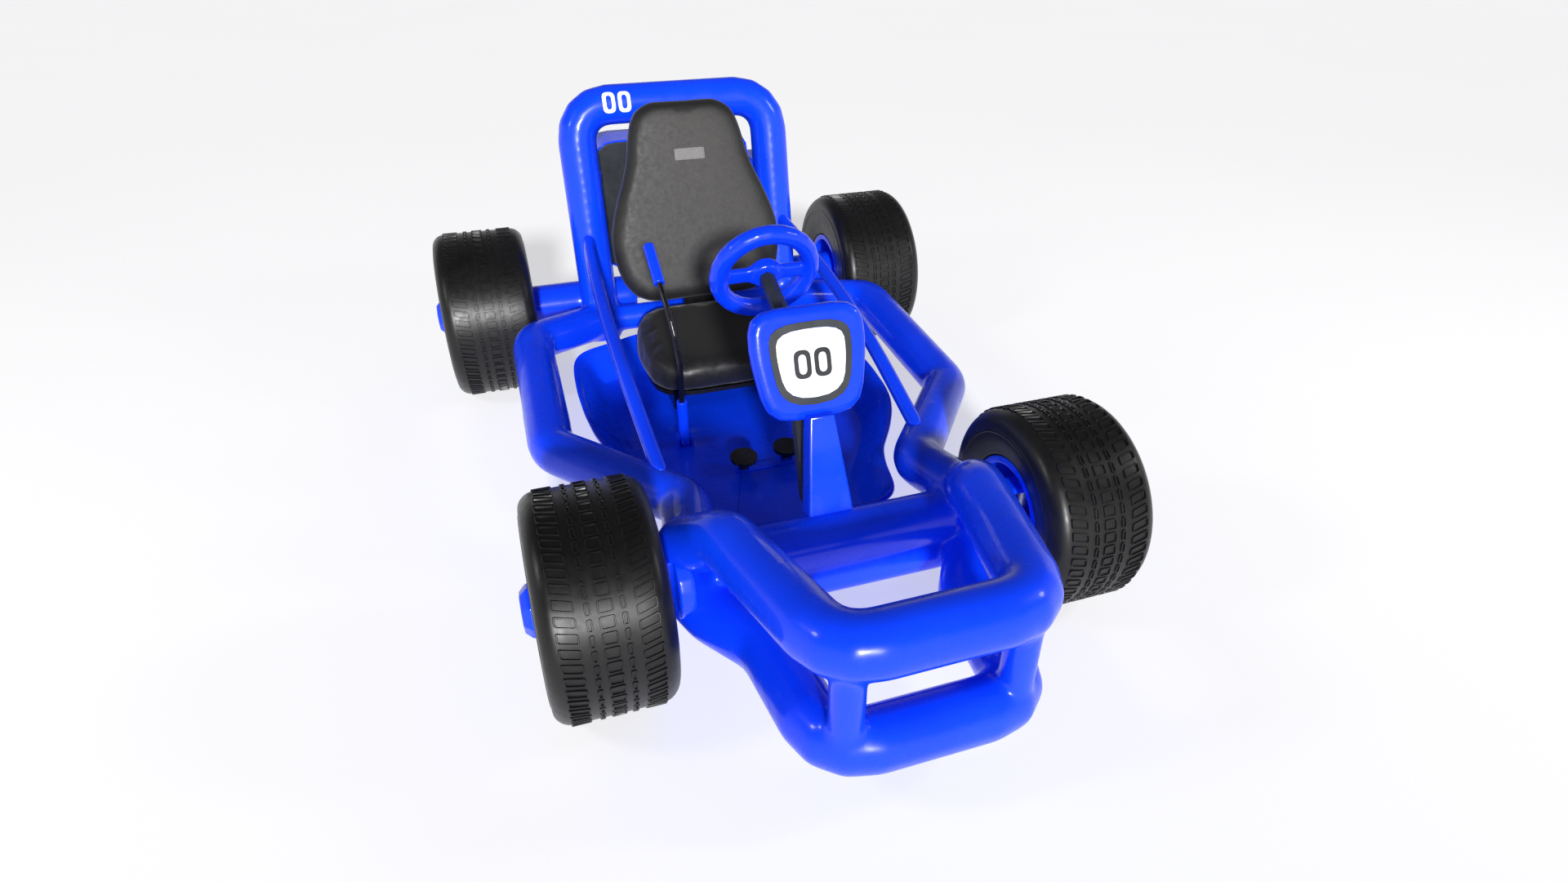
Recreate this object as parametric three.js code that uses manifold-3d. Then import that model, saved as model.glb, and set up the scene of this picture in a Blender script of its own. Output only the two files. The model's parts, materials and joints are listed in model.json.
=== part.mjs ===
// Go-kart chassis: a welded tube frame with front bumper loops, side rails and a roll hoop,
// a dished floor pan, a two-piece seat, steering, pedals, a hand lever and four wheels.
//
// Millimetres. +X is the kart's left, +Y its rear, +Z up. Every position below is measured
// from the ground under the middle of the front axle; the kart group then moves the origin
// to the middle of the footprint.

import * as THREE from 'three';
import { mergeVertices } from 'three/addons/utils/BufferGeometryUtils.js';
import Module from 'manifold-3d';

const wasm = await Module();
wasm.setup();

// ---------------------------------------------------------------- driving dimensions

const WHEELBASE = 1290;
const GAP = 0.3;
const SIDES = [['left', 1], ['right', -1]];

const TYRE_SEGMENTS = 24;
const FRONT_WHEEL = { radius: 208.3, halfWidth: 109.5, middleX: 456 };
const REAR_WHEEL = { radius: 230.4, halfWidth: 121, middleX: 567.5 };
const flatRadius = (wheel) => wheel.radius * Math.cos(Math.PI / TYRE_SEGMENTS);
const FRONT_AXLE_Z = flatRadius(FRONT_WHEEL);
const REAR_AXLE_Z = flatRadius(REAR_WHEEL);

const MAIN_TUBE = 50;
const BUMPER_TUBE = 52;
const POST_TUBE = 28;
const BRACE_TUBE = 16;
const REAR_CROSS_TUBE = 35;
const AXLE_TUBE = 56;
const TUBE_SIDES = 12;
const PITMAN_REACH = 34;

const BUMPER = {
  y: -400,
  upperZ: 355,
  lowerZ: 152,
  cornerX: 163,
  lowerCornerX: 169,
  postX: 145,
  bend: 75,
};
const FOOTPRINT_MIDDLE_Y = (BUMPER.y - BUMPER_TUBE + WHEELBASE + REAR_AXLE_Z) / 2;
const HUMP = { x: 231, y: -71, z: 329 };
const FRONT_CROSS = { y: 25, upperZ: 207, lowerZ: 138, halfLength: 250 };
const HOOP = { x: 268, footY: 1161, footZ: 158, topY: 1292, topZ: 771, bend: 88 };
const REAR_CROSS = { y: 1160, z: 214 };

const PAN = { floorZ: 85, rimZ: 165, sheet: 5, slope: 55 };
const KINGPIN = { x: 392, radius: 8 };
const STEERING_ARM = { tipX: 332, tipY: 105, z: 164 };
const TIE_ROD = { z: 151, radius: 6 };

const STEERING_WHEEL = { y: 455, z: 586, ring: 100, grip: 19, tilt: 22 };
const COLUMN_JOINT = { y: 209, z: 487 };
const POST_LEAN = 19;

const SEAT_LEAN = 17.7;
const SEAT_BACK = { y: 1000, z: 306, height: 530, pad: 56, shell: 12 };
const CUSHION = { frontY: 757, backY: 1074, halfWidth: 210, bottomZ: 152, frontTopZ: 220, rise: 64 };

const PLATE = { y: 172, z: 512, width: 234, height: 213, lean: 20, thickness: 34, face: 12 };
const LEVER_X = -160;
const LEVER_PIVOT = { y: 620, z: 116 };
const PEDAL_PIVOT_Z = 104;

const radians = THREE.MathUtils.degToRad;

// ---------------------------------------------------------------- materials

function finish(color, roughness, metalness = 0) {
  return new THREE.MeshStandardMaterial({ color, roughness, metalness });
}

const bluePaint = () => finish(0x0d33e6, 0.22);
const rubber = () => finish(0x17191b, 0.62);
const leather = () => finish(0x26282a, 0.5);
const greyPlastic = () => finish(0x3b4044, 0.45);
const blackPlastic = () => finish(0x141516, 0.4);
const whitePanel = () => finish(0xf4f5f6, 0.35);
const steel = () => finish(0x8d9196, 0.35, 0.9);

// ---------------------------------------------------------------- solids and helpers

// A closed three.js geometry as a manifold solid.
function solid(geometry) {
  const bare = new THREE.BufferGeometry();
  bare.setAttribute('position', geometry.getAttribute('position').clone());
  if (geometry.index) bare.setIndex(geometry.index.clone());
  const merged = mergeVertices(bare, 1e-3);
  return new wasm.Manifold(new wasm.Mesh({
    numProp: 3,
    vertProperties: merged.getAttribute('position').array,
    triVerts: new Uint32Array(merged.index.array),
  }));
}

// A manifold solid as a three.js geometry.
function shape3d(made) {
  const mesh = made.getMesh();
  const geometry = new THREE.BufferGeometry();
  geometry.setAttribute('position', new THREE.BufferAttribute(mesh.vertProperties, 3));
  geometry.setIndex(new THREE.BufferAttribute(mesh.triVerts, 1));
  return geometry;
}

function join(first, ...others) {
  return others.reduce((sum, geometry) => sum.add(solid(geometry)), solid(first));
}

function cut(made, ...tools) {
  return tools.reduce((rest, geometry) => rest.subtract(solid(geometry)), made);
}

function addMesh(parent, name, geometry, material) {
  const mesh = new THREE.Mesh(geometry, material);
  mesh.name = name;
  parent.add(mesh);
  return mesh;
}

// An upright block between six planes.
function span(lowX, highX, lowY, highY, lowZ, highZ) {
  const block = new THREE.BoxGeometry(highX - lowX, highY - lowY, highZ - lowZ);
  return block.translate((lowX + highX) / 2, (lowY + highY) / 2, (lowZ + highZ) / 2);
}

// The rotation that takes +Y, along which three.js turns its solids, to a direction.
function turnUpTo(direction) {
  const up = new THREE.Vector3(0, 1, 0);
  return new THREE.Quaternion().setFromUnitVectors(up, direction.clone().normalize());
}

// A straight round bar between two points.
function bar(from, to, radius, sides = TUBE_SIDES) {
  const start = new THREE.Vector3(...from);
  const end = new THREE.Vector3(...to);
  const along = end.clone().sub(start);
  const geometry = new THREE.CylinderGeometry(radius, radius, along.length(), sides);
  geometry.applyQuaternion(turnUpTo(along));
  const middle = start.add(end).multiplyScalar(0.5);
  return geometry.translate(middle.x, middle.y, middle.z);
}

function ball(centre, radius, sides = 12) {
  return new THREE.SphereGeometry(radius, sides, sides / 2).translate(...centre);
}

// A solid of revolution about the line through `origin` along `axis`; profile points are
// [radius, distance along the axis].
function turned(profile, origin, axis, segments, phase = 0) {
  const points = profile.map(([radius, along]) => new THREE.Vector2(radius, along));
  const geometry = new THREE.LatheGeometry(points, segments, phase);
  geometry.applyQuaternion(turnUpTo(new THREE.Vector3(...axis)));
  return geometry.translate(...origin);
}

// A flat washer-like ring, or a hollow tube, about an axis.
function sleeve(outer, inner, low, high, origin, axis, segments = TUBE_SIDES) {
  const profile = [[inner, low], [outer, low], [outer, high], [inner, high], [inner, low]];
  return turned(profile, origin, axis, segments);
}

// A path of straight runs joined by round bends, sampled only where it turns.
class BentPath extends THREE.Curve {
  constructor(corners, bendRadius, bendSteps = 3) {
    super();
    this.points = [];
    this.tangents = [];
    const knots = corners.map((corner) => new THREE.Vector3(...corner));
    const directions = knots.slice(1).map((knot, i) => knot.clone().sub(knots[i]).normalize());
    this.addStation(knots[0], directions[0]);
    for (let i = 1; i < knots.length - 1; i++) {
      const radius = Array.isArray(bendRadius) ? bendRadius[i - 1] : bendRadius;
      this.addBend(knots[i], directions[i - 1], directions[i], radius, bendSteps);
    }
    this.addStation(knots[knots.length - 1], directions[directions.length - 1]);
  }

  addStation(point, tangent) {
    this.points.push(point.clone());
    this.tangents.push(tangent.clone().normalize());
  }

  addBend(corner, inward, outward, radius, steps) {
    const angle = inward.angleTo(outward);
    const reach = radius * Math.tan(angle / 2);
    const start = corner.clone().addScaledVector(inward, -reach);
    const side = outward.clone().addScaledVector(inward, -Math.cos(angle)).normalize();
    const centre = start.clone().addScaledVector(side, radius);
    for (let step = 0; step <= steps; step++) {
      const turn = (angle * step) / steps;
      const point = centre.clone().addScaledVector(side, -radius * Math.cos(turn));
      point.addScaledVector(inward, radius * Math.sin(turn));
      const tangent = inward.clone().multiplyScalar(Math.cos(turn)).addScaledVector(side, Math.sin(turn));
      this.addStation(point, tangent);
    }
  }

  get steps() {
    return this.points.length - 1;
  }

  getPointAt(u, target = new THREE.Vector3()) {
    return target.copy(this.points[Math.round(u * this.steps)]);
  }

  getTangentAt(u, target = new THREE.Vector3()) {
    return target.copy(this.tangents[Math.round(u * this.steps)]);
  }
}

function circle(radius) {
  return new THREE.Shape().absarc(0, 0, radius, 0, 2 * Math.PI);
}

function sweep(path, radius, steps, sides = TUBE_SIDES) {
  return new THREE.ExtrudeGeometry(circle(radius), { extrudePath: path, steps, curveSegments: sides / 2 });
}

function bentTube(corners, bendRadius, radius, bendSteps) {
  const path = new BentPath(corners, bendRadius, bendSteps);
  return sweep(path, radius, path.steps);
}

function smoothTube(points, radius, steps, sides) {
  const path = new THREE.CatmullRomCurve3(points.map((point) => new THREE.Vector3(...point)));
  return sweep(path, radius, steps, sides);
}

const mirrored = (points) => points.map(([x, y, z]) => [-x, y, z]);

// The same run of points with both ends pushed outwards by `extra`.
function lengthened(points, extra) {
  const pushed = (end, next) => {
    const tip = new THREE.Vector3(...end);
    return tip.add(tip.clone().sub(new THREE.Vector3(...next)).setLength(extra)).toArray();
  };
  if (!extra) return points;
  return [pushed(points[0], points[1]), ...points.slice(1, -1), pushed(points.at(-1), points.at(-2))];
}

function towards(knot, other, distance) {
  const edge = other.clone().sub(knot);
  return knot.clone().add(edge.setLength(Math.min(distance, 0.48 * edge.length())));
}

// A closed outline whose corners are rounded by up to `rounding`, less on short edges.
function roundedOutline(corners, rounding) {
  const outline = new THREE.Shape();
  const knots = corners.map((corner) => new THREE.Vector2(...corner));
  knots.forEach((knot, i) => {
    const before = knots[(i + knots.length - 1) % knots.length];
    const after = knots[(i + 1) % knots.length];
    const enter = towards(knot, before, rounding);
    const leave = towards(knot, after, rounding);
    if (i === 0) outline.moveTo(enter.x, enter.y);
    else outline.lineTo(enter.x, enter.y);
    outline.quadraticCurveTo(knot.x, knot.y, leave.x, leave.y);
  });
  outline.closePath();
  return outline;
}

// A closed outline through the given half-profile and its mirror image.
function mirroredOutline(halfProfile, samples) {
  const curve = new THREE.SplineCurve(halfProfile.map((point) => new THREE.Vector2(...point)));
  const right = curve.getPoints(samples);
  const left = right.map((point) => new THREE.Vector2(-point.x, point.y)).reverse();
  return new THREE.Shape([...right, ...left]);
}

function slab(outline, depth, curveSegments = 4) {
  return new THREE.ExtrudeGeometry(outline, { depth, bevelEnabled: false, curveSegments });
}

function pillow(outline, depth, bevel, curveSegments = 4) {
  return new THREE.ExtrudeGeometry(outline, {
    depth: depth - 2 * bevel,
    bevelThickness: bevel,
    bevelSize: bevel,
    bevelOffset: -bevel,
    bevelSegments: 2,
    curveSegments,
  }).translate(0, 0, bevel);
}

// ---------------------------------------------------------------- the tube frame

const hoopTube = (extra = 0) => bentTube([
  [-HOOP.x, HOOP.footY, HOOP.footZ],
  [-HOOP.x, HOOP.topY, HOOP.topZ],
  [HOOP.x, HOOP.topY, HOOP.topZ],
  [HOOP.x, HOOP.footY, HOOP.footZ],
], HOOP.bend, MAIN_TUBE + extra, 4);

const upperLeg = [
  [292, 24, 262],
  [HUMP.x + 8, HUMP.y, HUMP.z + 6],
  [BUMPER.cornerX, BUMPER.y, BUMPER.upperZ],
];

const lowerLeg = [
  [285, 6, 158],
  [262, -48, 148],
  [193, -155, 150],
  [BUMPER.lowerCornerX, BUMPER.y, BUMPER.lowerZ],
];

function bumperLoop(leg, bends, extra = 0) {
  const corners = lengthened([...mirrored(leg), ...[...leg].reverse()], extra);
  const radius = BUMPER_TUBE + extra;
  const tube = bentTube(corners, [...bends, ...[...bends].reverse()], radius);
  const ends = [leg[0], mirrored(leg)[0]].map((centre) => ball(centre, radius, TUBE_SIDES));
  return shape3d(join(tube, ...ends));
}

const upperLoop = (extra = 0) => bumperLoop(upperLeg, [90, BUMPER.bend], extra);
const lowerLoop = (extra = 0) => bumperLoop(lowerLeg, [60, 120, BUMPER.bend], extra);

const sideRail = (side, extra = 0) => bentTube(lengthened([
  [side * HOOP.x, 1166, 212],
  [side * 474, 982, 257],
  [side * 480, 492, 219],
  [side * 248, 192, 230],
  [side * 280, 30, 250],
], extra), [85, 85, 70], MAIN_TUBE + extra);

function frontCrossTube(z, extra = 0) {
  const reach = FRONT_CROSS.halfLength + extra;
  return bar([-reach, FRONT_CROSS.y, z], [reach, FRONT_CROSS.y, z], MAIN_TUBE + extra);
}

function buildBumper(parent) {
  addMesh(parent, 'bumper_upper_loop', upperLoop(), bluePaint());
  const lower = cut(solid(lowerLoop()), upperLoop(GAP));
  addMesh(parent, 'bumper_lower_loop', shape3d(lower), bluePaint());
  for (const [name, side] of SIDES) {
    const x = side * BUMPER.postX;
    const post = bar([x, BUMPER.y, BUMPER.lowerZ], [x, BUMPER.y, BUMPER.upperZ], POST_TUBE);
    const fitted = cut(solid(post), upperLoop(GAP), lowerLoop(GAP));
    addMesh(parent, `bumper_post_${name}`, shape3d(fitted), bluePaint());
  }
}

function buildRails(parent) {
  for (const [name, side] of SIDES) {
    const rail = cut(solid(sideRail(side)), hoopTube(GAP), upperLoop(GAP), lowerLoop(GAP));
    addMesh(parent, `side_rail_${name}`, shape3d(rail), bluePaint());
  }
  const rails = SIDES.map(([, side]) => sideRail(side, GAP));
  const neighbours = [upperLoop(GAP), lowerLoop(GAP), ...rails];
  const upper = cut(solid(frontCrossTube(FRONT_CROSS.upperZ)), ...neighbours);
  addMesh(parent, 'front_cross_tube_upper', shape3d(upper), bluePaint());
  neighbours.push(frontCrossTube(FRONT_CROSS.upperZ, GAP));
  const lower = cut(solid(frontCrossTube(FRONT_CROSS.lowerZ)), ...neighbours);
  addMesh(parent, 'front_cross_tube_lower', shape3d(lower), bluePaint());
}

const rearCrossTube = (extra = 0) => bar(
  [-HOOP.x, REAR_CROSS.y, REAR_CROSS.z],
  [HOOP.x, REAR_CROSS.y, REAR_CROSS.z],
  REAR_CROSS_TUBE + extra,
);

function buildHoop(parent) {
  addMesh(parent, 'roll_hoop', hoopTube(), bluePaint());
  const rails = SIDES.map(([, side]) => sideRail(side, GAP));
  const fitted = cut(solid(rearCrossTube()), hoopTube(GAP), ...rails);
  addMesh(parent, 'rear_cross_tube', shape3d(fitted), bluePaint());
}

// Thin bowed braces from the hoop posts down to the front of the side rails.
function buildBraces(parent) {
  for (const [name, side] of SIDES) {
    const route = [
      [side * 276, 1196, 448],
      [side * 286, 1090, 432],
      [side * 298, 840, 392],
      [side * 296, 560, 338],
      [side * 284, 250, 262],
    ];
    const tube = solid(smoothTube(route, BRACE_TUBE, 12, 10));
    const brace = cut(tube, hoopTube(GAP), sideRail(side, GAP));
    addMesh(parent, `side_brace_${name}`, shape3d(brace), bluePaint());
  }
}

// ---------------------------------------------------------------- floor pan

const panHalfOutline = [
  [0, 152], [150, 154], [206, 180], [218, 262], [246, 350], [290, 415], [345, 520],
  [372, 620], [383, 800], [374, 990], [345, 1065], [245, 1098], [190, 1130], [100, 1137],
  [0, 1137],
];

function panBlock(lift) {
  const outline = mirroredOutline(panHalfOutline.slice(1, -1), 20);
  const wall = PAN.rimZ - PAN.floorZ;
  const block = new THREE.ExtrudeGeometry(outline, {
    depth: 40,
    bevelThickness: wall,
    bevelSize: PAN.slope,
    bevelOffset: -PAN.slope,
    bevelSegments: 1,
  });
  return block.translate(0, 0, PAN.rimZ + lift);
}

// Shallow tub with sloping sides; four lugs reach the cross tubes that carry it.
function buildFloorPan(parent) {
  const aboveRim = span(-500, 500, 0, 1300, PAN.rimZ, PAN.rimZ + 300);
  const lugs = SIDES.flatMap(([, side]) => [
    span(side * 120 - 22, side * 120 + 22, 60, 183, PAN.floorZ + 37, PAN.floorZ + 47),
    span(side * 140 - 20, side * 140 + 20, 1126, 1132, PAN.rimZ - 13, 200),
  ]);
  let pan = cut(solid(panBlock(0)), panBlock(PAN.sheet), aboveRim);
  for (const lug of lugs) pan = pan.add(solid(lug));
  const rails = SIDES.map(([, side]) => sideRail(side, GAP));
  const crossTubes = [frontCrossTube(FRONT_CROSS.lowerZ, GAP), rearCrossTube(GAP)];
  addMesh(parent, 'floor_pan', shape3d(cut(pan, ...rails, ...crossTubes)), bluePaint());
}

// ---------------------------------------------------------------- rear axle tubes

const bearingSeat = { outer: 31, inner: 15.6, width: 18, innerX: 470 };

// Hollow tube from the hoop foot to inside the rear wheel's dish, with a saddle on the hoop.
function buildAxleTubes(parent) {
  for (const [name, side] of SIDES) {
    const origin = [0, WHEELBASE, REAR_AXLE_Z];
    const axis = [side, 0, 0];
    const tube = sleeve(AXLE_TUBE, bearingSeat.outer + GAP, 150, 500, origin, axis, 16);
    const saddleX = side * HOOP.x;
    const saddle = span(saddleX - 34, saddleX + 34, 1205, 1250, REAR_AXLE_Z - 34, REAR_AXLE_Z + 34);
    const boreStart = [side * 140, WHEELBASE, REAR_AXLE_Z];
    const boreEnd = [side * 510, WHEELBASE, REAR_AXLE_Z];
    const bore = bar(boreStart, boreEnd, bearingSeat.outer + GAP, 16);
    const hanger = cut(join(tube, saddle), bore, hoopTube(GAP));
    addMesh(parent, `axle_tube_${name}`, shape3d(hanger), bluePaint());
    const { outer, inner, width, innerX } = bearingSeat;
    const bearing = sleeve(outer, inner, innerX, innerX + width, origin, axis, 16);
    addMesh(parent, `axle_bearing_${name}`, bearing, steel());
  }
}

// ---------------------------------------------------------------- wheels

const BEAD = 101.6;
const RIM = 100.4;

function tyreProfile({ radius, halfWidth }) {
  const outer = [
    [BEAD, halfWidth - 20], [124, halfWidth - 8], [150, halfWidth], [radius - 26, halfWidth],
    [radius - 8, halfWidth - 7], [radius, halfWidth - 25],
  ];
  const inner = [[radius - 13, halfWidth - 32], [150, halfWidth - 12], [BEAD, halfWidth - 34]];
  const flip = ([r, s]) => [r, -s];
  return [...outer.map(flip), ...[...outer].reverse(), ...[...inner].reverse(), ...inner.map(flip),
    flip(outer[0])];
}

// Barrel with two flanges, a web and a hub boss, as one closed profile.
function rimProfile({ halfWidth }, hub) {
  const lip = halfWidth - 9.5;
  const seat = halfWidth - 13.5;
  const barrel = 96;
  const boss = 27;
  const inner = [
    [111, -lip], [111, -seat], [RIM, -seat], [RIM, seat], [111, seat], [111, lip], [barrel, lip],
  ];
  const web = [
    [barrel, hub.web + 5], [boss, hub.web + 5], [boss, hub.high], [hub.bore, hub.high],
    [hub.bore, hub.low], [boss, hub.low], [boss, hub.web - 5], [barrel, hub.web - 5],
    [barrel, -lip], [111, -lip],
  ];
  return [...inner, ...web];
}

function capProfile({ halfWidth }, start) {
  return [[0, start], [49, start], [49, halfWidth + 8], [36, halfWidth + 21], [0, halfWidth + 21]];
}

const FRONT_HUB = { web: 46, low: 22, high: 68, bore: 13.2 };
const REAR_HUB = { web: 50, low: 20, high: 74, bore: 15.4 };

function buildWheel(parent, prefix, wheel, hub, side, axleY) {
  const origin = [side * wheel.middleX, axleY, flatRadius(wheel)];
  const axis = [side, 0, 0];
  const halfStep = Math.PI / TYRE_SEGMENTS;
  const tyre = turned(tyreProfile(wheel), origin, axis, TYRE_SEGMENTS, halfStep);
  const cap = turned(capProfile(wheel, hub.high + 5), origin, axis, 8);
  addMesh(parent, `${prefix}_tyre`, tyre, rubber());
  addMesh(parent, `${prefix}_rim`, turned(rimProfile(wheel, hub), origin, axis, 16), bluePaint());
  addMesh(parent, `${prefix}_hub_cap`, cap, bluePaint());
}

function buildWheels(parent) {
  for (const [name, side] of SIDES) {
    buildWheel(parent, `front_${name}`, FRONT_WHEEL, FRONT_HUB, side, 0);
    buildWheel(parent, `rear_${name}`, REAR_WHEEL, REAR_HUB, side, WHEELBASE);
  }
  const reach = REAR_WHEEL.middleX + REAR_HUB.high - 1;
  const shaft = bar([-reach, WHEELBASE, REAR_AXLE_Z], [reach, WHEELBASE, REAR_AXLE_Z], 15, 16);
  addMesh(parent, 'rear_axle_shaft', shaft, steel());
}

// ---------------------------------------------------------------- front axle and knuckles

const EAR = { inner: 50, outer: 62, halfWidth: 24 };

// Stub off the frame end that carries a C-shaped yoke round the knuckle.
function buildKingpinBracket(parent, name, side) {
  const z = FRONT_AXLE_Z;
  const x = side * KINGPIN.x;
  const across = (near, far, bottom, top) => {
    const [low, high] = [side * near, side * far].sort((a, b) => a - b);
    return span(low, high, -EAR.halfWidth, EAR.halfWidth, z + bottom, z + top);
  };
  const drum = bar([side * 292, 0, z], [side * 322, 0, z], 72, 20);
  const neck = across(318, 354, -EAR.outer, EAR.outer);
  const ears = [across(352, 414, EAR.inner, EAR.outer), across(352, 414, -EAR.outer, -EAR.inner)];
  const pinHole = bar([x, 0, z - 80], [x, 0, z + 80], KINGPIN.radius + GAP, 12);
  const neighbours = [upperLoop(GAP), lowerLoop(GAP), sideRail(side, GAP)];
  const bracket = cut(join(drum, neck, ...ears), pinHole, ...neighbours);
  addMesh(parent, `kingpin_bracket_${name}`, shape3d(largest(bracket)), bluePaint());
  const pin = bar([x, 0, z - 66], [x, 0, z + 64], KINGPIN.radius, 12);
  const head = bar([x, 0, z + EAR.outer + GAP], [x, 0, z + 69], 13, 6);
  addMesh(parent, `kingpin_${name}`, shape3d(join(pin, head)), steel());
}

function largest(made) {
  return made.decompose().sort((a, b) => b.volume() - a.volume())[0];
}

// Knuckle barrel on the kingpin, wheel spindle, steering arm and its ball stud.
function buildKnuckle(parent, name, side) {
  const z = FRONT_AXLE_Z;
  const x = side * KINGPIN.x;
  const tipX = side * STEERING_ARM.tipX;
  const { tipY } = STEERING_ARM;
  const barrel = bar([x, 0, z - 48], [x, 0, z + 48], 20, 14);
  const spindleEnd = side * (FRONT_WHEEL.middleX + FRONT_HUB.high - 1);
  const spindle = bar([x, 0, z], [spindleEnd, 0, z], 12.8, 12);
  const shoulder = bar([x, 0, z], [side * 430, 0, z], 20, 14);
  const armLength = Math.hypot(tipX - x, tipY);
  const arm = new THREE.BoxGeometry(armLength, 18, 8).translate(armLength / 2, 0, 0);
  arm.rotateZ(Math.atan2(tipY, tipX - x)).translate(x, 0, STEERING_ARM.z);
  const boss = bar([tipX, tipY, STEERING_ARM.z - 4], [tipX, tipY, STEERING_ARM.z + 4], 10, 12);
  const stud = bar([tipX, tipY, TIE_ROD.z - 10], [tipX, tipY, STEERING_ARM.z], 4, 8);
  const nut = bar([tipX, tipY, TIE_ROD.z - 12], [tipX, tipY, TIE_ROD.z - 6.5], 7, 6);
  const bore = bar([x, 0, z - 60], [x, 0, z + 60], KINGPIN.radius + GAP, 12);
  const knuckle = cut(join(barrel, shoulder, spindle, arm, boss, stud, nut), bore);
  addMesh(parent, `knuckle_${name}`, shape3d(knuckle), steel());
}

// The rod's outer eye turns on the stud; its inner end stops short of the pitman arm.
function buildTieRod(parent, name, side) {
  const outer = [side * STEERING_ARM.tipX, STEERING_ARM.tipY, TIE_ROD.z];
  const inner = [side * 18, 128, TIE_ROD.z + 6];
  const eye = sleeve(10, 4.6, -4.5, 4.5, outer, [0, 0, 1], 12);
  const rodStart = [side * (STEERING_ARM.tipX - 7), STEERING_ARM.tipY, TIE_ROD.z];
  const rod = bar(rodStart, inner, TIE_ROD.radius, 8);
  const stud = bar([outer[0], outer[1], outer[2] - 20], [outer[0], outer[1], outer[2] + 20], 4.6, 12);
  addMesh(parent, `tie_rod_${name}`, shape3d(cut(join(eye, rod), stud)), steel());
}

function buildFrontAxle(parent) {
  for (const [name, side] of SIDES) {
    buildKingpinBracket(parent, name, side);
    buildKnuckle(parent, name, side);
    buildTieRod(parent, name, side);
  }
}

// ---------------------------------------------------------------- steering

const wheelTilt = radians(STEERING_WHEEL.tilt);
const postLean = radians(POST_LEAN);
const wheelAxis = [0, Math.cos(wheelTilt), Math.sin(wheelTilt)];
const postAxis = [0, Math.sin(postLean), Math.cos(postLean)];
const wheelCentre = [0, STEERING_WHEEL.y, STEERING_WHEEL.z];
const columnJoint = [0, COLUMN_JOINT.y, COLUMN_JOINT.z];
const along = (origin, axis, distance) => origin.map((value, i) => value + axis[i] * distance);

const steeringRing = (extra = 0) => (
  new THREE.TorusGeometry(STEERING_WHEEL.ring, STEERING_WHEEL.grip + extra, 10, 24));

// Geometry drawn in the wheel's plane, with +Z towards the driver, moved onto the column.
function ontoWheel(geometry) {
  geometry.rotateX(wheelTilt - Math.PI / 2);
  return geometry.translate(...wheelCentre);
}

function buildSteering(parent) {
  addMesh(parent, 'steering_wheel_rim', ontoWheel(steeringRing()), bluePaint());
  const { ring } = STEERING_WHEEL;
  const flare = new THREE.CylinderGeometry(34, 28, 22, 16).rotateX(Math.PI / 2).translate(0, 0, -4);
  const spokes = pillow(roundedOutline([
    [-ring, -15], [-36, -15], [-24, -24], [24, -24], [36, -15], [ring, -15],
    [ring, 15], [36, 15], [24, 24], [-24, 24], [-36, 15], [-ring, 15],
  ], 3), 16, 4, 1).translate(0, 0, -10);
  const hub = largest(cut(join(spokes, flare), steeringRing(GAP)));
  addMesh(parent, 'steering_wheel_hub', ontoWheel(shape3d(hub)), bluePaint());
  const columnTop = along(wheelCentre, wheelAxis, -17);
  const columnEnd = along(columnJoint, wheelAxis, 20);
  addMesh(parent, 'column_upper', bar(columnEnd, columnTop, 17, 6), greyPlastic());
}

const postPoint = (distance) => along(columnJoint, postAxis, -distance);

// Eight-sided post, running down from just below the joint.
function columnPost(extra = 0) {
  const top = 42 - extra;
  const bottom = 268 + extra;
  const radius = 34 + extra;
  const profile = [[0, top], [radius, top], [radius, bottom], [0, bottom], [0, top]];
  return turned(profile, columnJoint, postAxis.map((value) => -value), 8, Math.PI / 8);
}

function buildColumnPost(parent) {
  const bore = bar(postPoint(20), postPoint(300), 15, 12);
  const bushAt = along(columnJoint, wheelAxis, 60);
  const ring = sleeve(31, 17.6, -14, 14, bushAt, wheelAxis, 16);
  const arm = span(-16, 16, 205, 262, 428, 488);
  const shaftEnds = [5, 120].map((distance) => along(columnJoint, wheelAxis, distance));
  const shaft = bar(...shaftEnds, 17.6, 16);
  const body = cut(join(columnPost(), ring, arm), bore, shaft, ball(columnJoint, 24));
  addMesh(parent, 'column_post', shape3d(largest(body)), greyPlastic());

  const corners = [[-46, -12], [46, -12], [24, 188], [-24, 188]];
  const outline = new THREE.Shape(corners.map((corner) => new THREE.Vector2(...corner)));
  const fairing = pillow(outline, 46, 5, 1);
  fairing.rotateX(Math.PI / 2 - postLean).translate(0, 82, 242);
  const neighbours = [columnPost(GAP), frontCrossTube(FRONT_CROSS.upperZ, GAP), plateShell(GAP)];
  const fitted = cut(solid(fairing), ...neighbours);
  addMesh(parent, 'column_fairing', shape3d(largest(fitted)), bluePaint());
}

// Lower shaft: ball at the joint, rod down inside the post and the pitman arm behind it.
function buildLowerColumn(parent) {
  const head = ball(columnJoint, 15);
  const rod = bar(columnJoint, postPoint(352), 10, 10);
  const root = postPoint(342);
  const backward = [0, Math.cos(postLean), -Math.sin(postLean)];
  const arm = new THREE.BoxGeometry(18, PITMAN_REACH, 9).translate(0, PITMAN_REACH / 2, 0);
  arm.rotateX(-postLean).translate(...root);
  const hub = bar(along(root, postAxis, -10), along(root, postAxis, 10), 17, 12);
  const tipCentre = along(root, backward, PITMAN_REACH);
  const tip = bar(along(tipCentre, postAxis, -4.5), along(tipCentre, postAxis, 4.5), 10, 12);
  addMesh(parent, 'column_lower', shape3d(join(head, rod, hub, arm, tip)), steel());
}

// ---------------------------------------------------------------- number plate

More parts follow.
